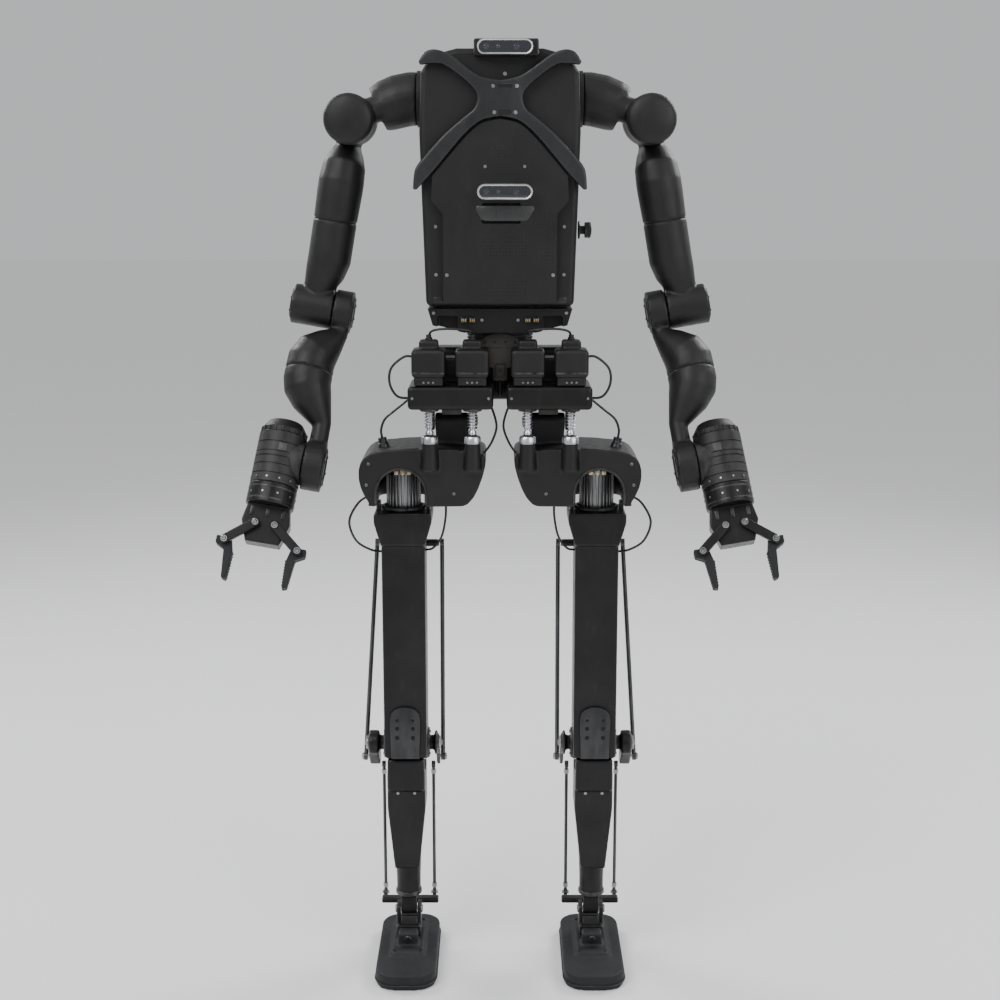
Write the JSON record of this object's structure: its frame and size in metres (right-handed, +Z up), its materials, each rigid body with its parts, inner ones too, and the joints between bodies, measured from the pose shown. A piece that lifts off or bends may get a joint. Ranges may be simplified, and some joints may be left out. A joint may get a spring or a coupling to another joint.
{
  "type": "humanoid robot kit",
  "caption": "Headless humanoid robot with two jointed arms, two-finger grippers, rod-driven legs and flat feet.",
  "frame": {"origin": "on the floor under the middle of the object's box", "axes": "+Z up, the robot faces -Y, its own left is +X"},
  "size_m": [0.9338, 0.3278, 1.6255],
  "materials": {
    "shell_black": "fine-textured matte black moulding",
    "brace_black": "smooth satin black moulding",
    "frame_black": "black anodised aluminium",
    "steel": "bright machined steel",
    "rod_grey": "dark grey satin tube",
    "rubber": "matte black rubber",
    "camera_silver": "satin silver",
    "button_black": "matte black"
  },
  "bodies": {
    "pelvis": {"pelvis_frame": "frame_black"},
    "torso": {"torso_shell": "shell_black", "front_cover": "shell_black", "x_brace": "brace_black", "head_camera": "camera_silver", "chest_camera": "camera_silver", "base_frame": "frame_black"},
    "stop_button": {"stop_button": "button_black"},
    "left_shoulder": {"left_shoulder_link": "shell_black"},
    "left_upper_arm": {"left_upper_arm": "shell_black"},
    "left_elbow": {"left_elbow_link": "shell_black"},
    "left_forearm_top": {"left_forearm_upper": "shell_black"},
    "left_forearm": {"left_forearm_lower": "shell_black"},
    "left_wrist": {"left_wrist_module": "shell_black"},
    "left_hand": {"left_gripper_base": "frame_black"},
    "left_finger_outer_crank": {"left_finger_outer_crank": "frame_black"},
    "left_finger_outer_tip": {"left_finger_outer_tip": "rubber"},
    "left_finger_inner_crank": {"left_finger_inner_crank": "frame_black"},
    "left_finger_inner_tip": {"left_finger_inner_tip": "rubber"},
    "left_hip": {"left_hip_carrier": "frame_black", "left_hip_motor_outer": "shell_black", "left_hip_motor_inner": "shell_black"},
    "left_ball_screws": {"left_ball_screw_outer": "steel", "left_ball_screw_inner": "steel"},
    "left_hip_casing": {"left_hip_housing": "shell_black"},
    "left_thigh": {"left_thigh_beam": "frame_black", "left_knee_motor": "steel"},
    "left_thigh_rods": {"left_thigh_rod_outer": "rod_grey", "left_thigh_rod_inner": "rod_grey"},
    "left_shin": {"left_shin": "frame_black"},
    "left_shin_rods": {"left_shin_rod_outer": "rod_grey", "left_shin_rod_inner": "rod_grey"},
    "left_ankle": {"left_ankle_cross": "frame_black"},
    "left_foot": {"left_foot": "rubber"},
    "right_shoulder": {"right_shoulder_link": "shell_black"},
    "right_upper_arm": {"right_upper_arm": "shell_black"},
    "right_elbow": {"right_elbow_link": "shell_black"},
    "right_forearm_top": {"right_forearm_upper": "shell_black"},
    "right_forearm": {"right_forearm_lower": "shell_black"},
    "right_wrist": {"right_wrist_module": "shell_black"},
    "right_hand": {"right_gripper_base": "frame_black"},
    "right_finger_outer_crank": {"right_finger_outer_crank": "frame_black"},
    "right_finger_outer_tip": {"right_finger_outer_tip": "rubber"},
    "right_finger_inner_crank": {"right_finger_inner_crank": "frame_black"},
    "right_finger_inner_tip": {"right_finger_inner_tip": "rubber"},
    "right_hip": {"right_hip_carrier": "frame_black", "right_hip_motor_outer": "shell_black", "right_hip_motor_inner": "shell_black"},
    "right_ball_screws": {"right_ball_screw_outer": "steel", "right_ball_screw_inner": "steel"},
    "right_hip_casing": {"right_hip_housing": "shell_black"},
    "right_thigh": {"right_thigh_beam": "frame_black", "right_knee_motor": "steel"},
    "right_thigh_rods": {"right_thigh_rod_outer": "rod_grey", "right_thigh_rod_inner": "rod_grey"},
    "right_shin": {"right_shin": "frame_black"},
    "right_shin_rods": {"right_shin_rod_outer": "rod_grey", "right_shin_rod_inner": "rod_grey"},
    "right_ankle": {"right_ankle_cross": "frame_black"},
    "right_foot": {"right_foot": "rubber"}
  },
  "joints": [
    {"name": "waist_yaw", "type": "hinge", "parent": "pelvis", "child": "torso", "pos_m": [0, 0.06389, 1.15], "axis": [0, 0, 1], "range_deg": [-25, 25]},
    {"name": "stop_button_press", "type": "slide", "parent": "torso", "child": "stop_button", "axis": [-1, 0, 0], "range_m": [0, 0.004], "stiffness_N_per_m": 500},
    {"name": "left_shoulder_pitch", "type": "hinge", "parent": "torso", "child": "left_shoulder", "pos_m": [0.137, 0.06389, 1.538], "axis": [-1, 0, 0], "range_deg": [-40, 100]},
    {"name": "left_shoulder_roll", "type": "hinge", "parent": "left_shoulder", "child": "left_upper_arm", "pos_m": [0.25, 0.06389, 1.504], "axis": [0, -1, 0], "range_deg": [-3, 75]},
    {"name": "left_upper_arm_twist", "type": "hinge", "parent": "left_upper_arm", "child": "left_elbow", "pos_m": [0.27917, 0.06389, 1.33855], "axis": [-0.1736, 0, 0.9848], "range_deg": [-20, 75]},
    {"name": "left_elbow_bend", "type": "hinge", "parent": "left_elbow", "child": "left_forearm_top", "pos_m": [0.30522, 0.06389, 1.19083], "axis": [-0.9848, 0, -0.1736], "range_deg": [-26, 80]},
    {"name": "left_forearm_twist", "type": "hinge", "parent": "left_forearm_top", "child": "left_forearm", "pos_m": [0.32364, 0.01216, 1.08638], "axis": [-0.1561, 0.4384, 0.8851], "range_deg": [-80, 80]},
    {"name": "left_wrist_bend", "type": "hinge", "parent": "left_forearm", "child": "left_wrist", "pos_m": [0.34892, -0.05885, 0.94299], "axis": [-0.9848, 0, -0.1736], "range_deg": [-55, 55]},
    {"name": "left_hand_roll", "type": "hinge", "parent": "left_wrist", "child": "left_hand", "pos_m": [0.37595, -0.07946, 0.90486], "axis": [-0.1561, 0.4384, 0.8851], "range_deg": [-120, 120]},
    {"name": "left_finger_outer_close", "type": "hinge", "parent": "left_hand", "child": "left_finger_outer_crank", "pos_m": [0.40232, -0.10927, 0.84745], "axis": [0.0761, 0.8988, -0.4317], "range_deg": [0, 45]},
    {"name": "left_finger_outer_level", "type": "hinge", "parent": "left_finger_outer_crank", "child": "left_finger_outer_tip", "pos_m": [0.45127, -0.12505, 0.82323], "axis": [0.0761, 0.8988, -0.4317], "range_deg": [-45, 0]},
    {"name": "left_finger_inner_close", "type": "hinge", "parent": "left_hand", "child": "left_finger_inner_crank", "pos_m": [0.37081, -0.10927, 0.8419], "axis": [-0.0761, -0.8988, 0.4317], "range_deg": [0, 45]},
    {"name": "left_finger_inner_level", "type": "hinge", "parent": "left_finger_inner_crank", "child": "left_finger_inner_tip", "pos_m": [0.3331, -0.12505, 0.80239], "axis": [-0.0761, -0.8988, 0.4317], "range_deg": [-45, 0]},
    {"name": "left_hip_roll", "type": "hinge", "parent": "pelvis", "child": "left_hip", "pos_m": [0.082, 0.06389, 1.095], "axis": [0, -1, 0], "range_deg": [-3, 12]},
    {"name": "left_hip_pitch", "type": "hinge", "parent": "left_hip", "child": "left_hip_casing", "pos_m": [0.082, 0.02889, 1], "axis": [-1, 0, 0], "range_deg": [-20, 25]},
    {"name": "left_ball_screw_travel", "type": "slide", "parent": "left_hip", "child": "left_ball_screws", "axis": [0, 0, 1], "range_m": [-0.0246, 0.0307]},
    {"name": "left_hip_yaw", "type": "hinge", "parent": "left_hip_casing", "child": "left_thigh", "pos_m": [0.168, 0.04889, 0.9], "axis": [0, 0, 1], "range_deg": [-15, 25]},
    {"name": "left_knee_bend", "type": "hinge", "parent": "left_thigh", "child": "left_shin", "pos_m": [0.168, 0.06389, 0.408], "axis": [1, 0, 0], "range_deg": [0, 80]},
    {"name": "left_thigh_rod_follow", "type": "hinge", "parent": "left_shin", "child": "left_thigh_rods", "pos_m": [0.168, 0.10889, 0.365], "axis": [1, 0, 0], "range_deg": [-80, 0]},
    {"name": "left_ankle_pitch", "type": "hinge", "parent": "left_shin", "child": "left_ankle", "pos_m": [0.168, 0.06389, 0.085], "axis": [1, 0, 0], "range_deg": [-25, 25]},
    {"name": "left_shin_rod_travel", "type": "slide", "parent": "left_shin", "child": "left_shin_rods", "axis": [0, 0, 1], "range_m": [-0.0171, 0.0171]},
    {"name": "left_ankle_roll", "type": "hinge", "parent": "left_ankle", "child": "left_foot", "pos_m": [0.168, 0.06389, 0.047], "axis": [0, -1, 0], "range_deg": [-12, 12]},
    {"name": "right_shoulder_pitch", "type": "hinge", "parent": "torso", "child": "right_shoulder", "pos_m": [-0.137, 0.06389, 1.538], "axis": [-1, 0, 0], "range_deg": [-40, 100]},
    {"name": "right_shoulder_roll", "type": "hinge", "parent": "right_shoulder", "child": "right_upper_arm", "pos_m": [-0.25, 0.06389, 1.504], "axis": [0, 1, 0], "range_deg": [-3, 75]},
    {"name": "right_upper_arm_twist", "type": "hinge", "parent": "right_upper_arm", "child": "right_elbow", "pos_m": [-0.27917, 0.06389, 1.33855], "axis": [-0.1736, 0, -0.9848], "range_deg": [-20, 75]},
    {"name": "right_elbow_bend", "type": "hinge", "parent": "right_elbow", "child": "right_forearm_top", "pos_m": [-0.30522, 0.06389, 1.19083], "axis": [-0.9848, 0, 0.1736], "range_deg": [-26, 80]},
    {"name": "right_forearm_twist", "type": "hinge", "parent": "right_forearm_top", "child": "right_forearm", "pos_m": [-0.32364, 0.01216, 1.08638], "axis": [-0.1561, -0.4384, -0.8851], "range_deg": [-80, 80]},
    {"name": "right_wrist_bend", "type": "hinge", "parent": "right_forearm", "child": "right_wrist", "pos_m": [-0.34892, -0.05885, 0.94299], "axis": [-0.9848, 0, 0.1736], "range_deg": [-55, 55]},
    {"name": "right_hand_roll", "type": "hinge", "parent": "right_wrist", "child": "right_hand", "pos_m": [-0.37595, -0.07946, 0.90486], "axis": [-0.1561, -0.4384, -0.8851], "range_deg": [-120, 120]},
    {"name": "right_finger_outer_close", "type": "hinge", "parent": "right_hand", "child": "right_finger_outer_crank", "pos_m": [-0.40232, -0.10927, 0.84745], "axis": [0.0761, -0.8988, 0.4317], "range_deg": [0, 45]},
    {"name": "right_finger_outer_level", "type": "hinge", "parent": "right_finger_outer_crank", "child": "right_finger_outer_tip", "pos_m": [-0.45127, -0.12505, 0.82323], "axis": [0.0761, -0.8988, 0.4317], "range_deg": [-45, 0]},
    {"name": "right_finger_inner_close", "type": "hinge", "parent": "right_hand", "child": "right_finger_inner_crank", "pos_m": [-0.37081, -0.10927, 0.8419], "axis": [-0.0761, 0.8988, -0.4317], "range_deg": [0, 45]},
    {"name": "right_finger_inner_level", "type": "hinge", "parent": "right_finger_inner_crank", "child": "right_finger_inner_tip", "pos_m": [-0.3331, -0.12505, 0.80239], "axis": [-0.0761, 0.8988, -0.4317], "range_deg": [-45, 0]},
    {"name": "right_hip_roll", "type": "hinge", "parent": "pelvis", "child": "right_hip", "pos_m": [-0.082, 0.06389, 1.095], "axis": [0, 1, 0], "range_deg": [-3, 12]},
    {"name": "right_hip_pitch", "type": "hinge", "parent": "right_hip", "child": "right_hip_casing", "pos_m": [-0.082, 0.02889, 1], "axis": [-1, 0, 0], "range_deg": [-20, 25]},
    {"name": "right_ball_screw_travel", "type": "slide", "parent": "right_hip", "child": "right_ball_screws", "axis": [0, 0, 1], "range_m": [-0.0246, 0.0307]},
    {"name": "right_hip_yaw", "type": "hinge", "parent": "right_hip_casing", "child": "right_thigh", "pos_m": [-0.168, 0.04889, 0.9], "axis": [0, 0, -1], "range_deg": [-15, 25]},
    {"name": "right_knee_bend", "type": "hinge", "parent": "right_thigh", "child": "right_shin", "pos_m": [-0.168, 0.06389, 0.408], "axis": [1, 0, 0], "range_deg": [0, 80]},
    {"name": "right_thigh_rod_follow", "type": "hinge", "parent": "right_shin", "child": "right_thigh_rods", "pos_m": [-0.168, 0.10889, 0.365], "axis": [1, 0, 0], "range_deg": [-80, 0]},
    {"name": "right_ankle_pitch", "type": "hinge", "parent": "right_shin", "child": "right_ankle", "pos_m": [-0.168, 0.06389, 0.085], "axis": [1, 0, 0], "range_deg": [-25, 25]},
    {"name": "right_shin_rod_travel", "type": "slide", "parent": "right_shin", "child": "right_shin_rods", "axis": [0, 0, 1], "range_m": [-0.0171, 0.0171]},
    {"name": "right_ankle_roll", "type": "hinge", "parent": "right_ankle", "child": "right_foot", "pos_m": [-0.168, 0.06389, 0.047], "axis": [0, 1, 0], "range_deg": [-12, 12]}
  ],
  "couplings": [
    {"joint": "left_finger_inner_close", "follows": "left_finger_outer_close", "ratio": 1},
    {"joint": "left_finger_outer_level", "follows": "left_finger_outer_close", "ratio": -1},
    {"joint": "left_finger_inner_level", "follows": "left_finger_outer_close", "ratio": -1},
    {"joint": "left_ball_screw_travel", "follows": "left_hip_pitch", "m_per_rad": 0.07},
    {"joint": "left_thigh_rod_follow", "follows": "left_knee_bend", "ratio": -1},
    {"joint": "left_shin_rod_travel", "follows": "left_ankle_pitch", "m_per_rad": 0.039},
    {"joint": "right_finger_inner_close", "follows": "right_finger_outer_close", "ratio": 1},
    {"joint": "right_finger_outer_level", "follows": "right_finger_outer_close", "ratio": -1},
    {"joint": "right_finger_inner_level", "follows": "right_finger_outer_close", "ratio": -1},
    {"joint": "right_ball_screw_travel", "follows": "right_hip_pitch", "m_per_rad": 0.07},
    {"joint": "right_thigh_rod_follow", "follows": "right_knee_bend", "ratio": -1},
    {"joint": "right_shin_rod_travel", "follows": "right_ankle_pitch", "m_per_rad": 0.039}
  ]
}
